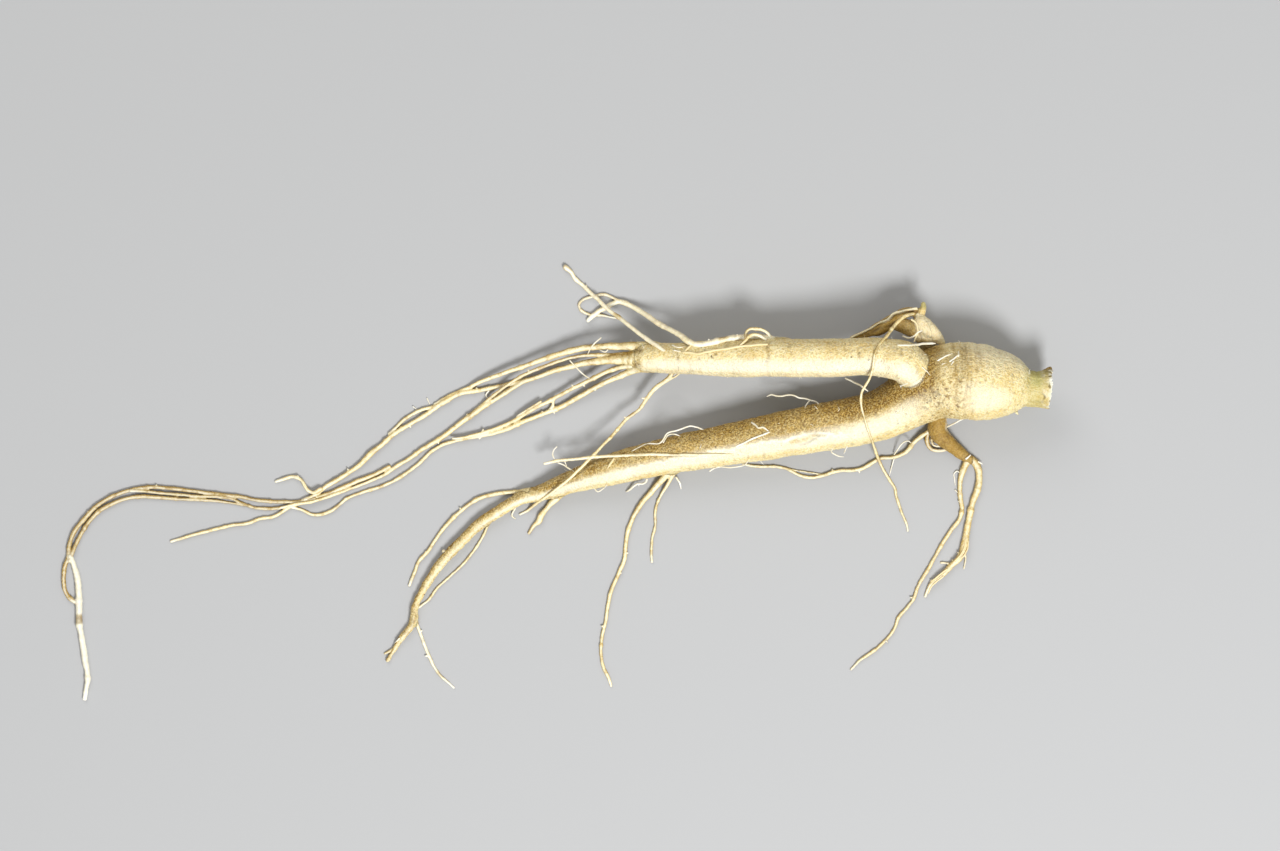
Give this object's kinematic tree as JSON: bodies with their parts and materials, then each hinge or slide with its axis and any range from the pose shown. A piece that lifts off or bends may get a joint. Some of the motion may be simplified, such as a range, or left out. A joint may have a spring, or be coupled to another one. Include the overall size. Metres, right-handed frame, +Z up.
{
  "type": "brazilian ginseng root",
  "caption": "Fresh ginseng root lying down: a round crown with a cut stem stub, two long tapering legs, side roots and long fine rootlets.",
  "frame": {"origin": "under the middle of the root's box, on the surface that it lies on", "axes": "+X towards the cut stem, along the root's length; +Z up from the surface that it lies on; +Y across, towards the raised leg"},
  "size_m": [0.2478, 0.109, 0.0196],
  "materials": {
    "root_skin": "satin, pale straw skin with fine rings and brown specks",
    "side_root_skin": "dull, brown weathered skin",
    "rootlet_skin": "satin, pale straw skin with white tips",
    "stem_skin": "satin, greenish stem with dark specks and a torn pale rim",
    "root_hair": "dull, whitish fine hairs"
  },
  "bodies": {
    "root": {"ginseng_root": "root_skin"}
  },
  "joints": []
}
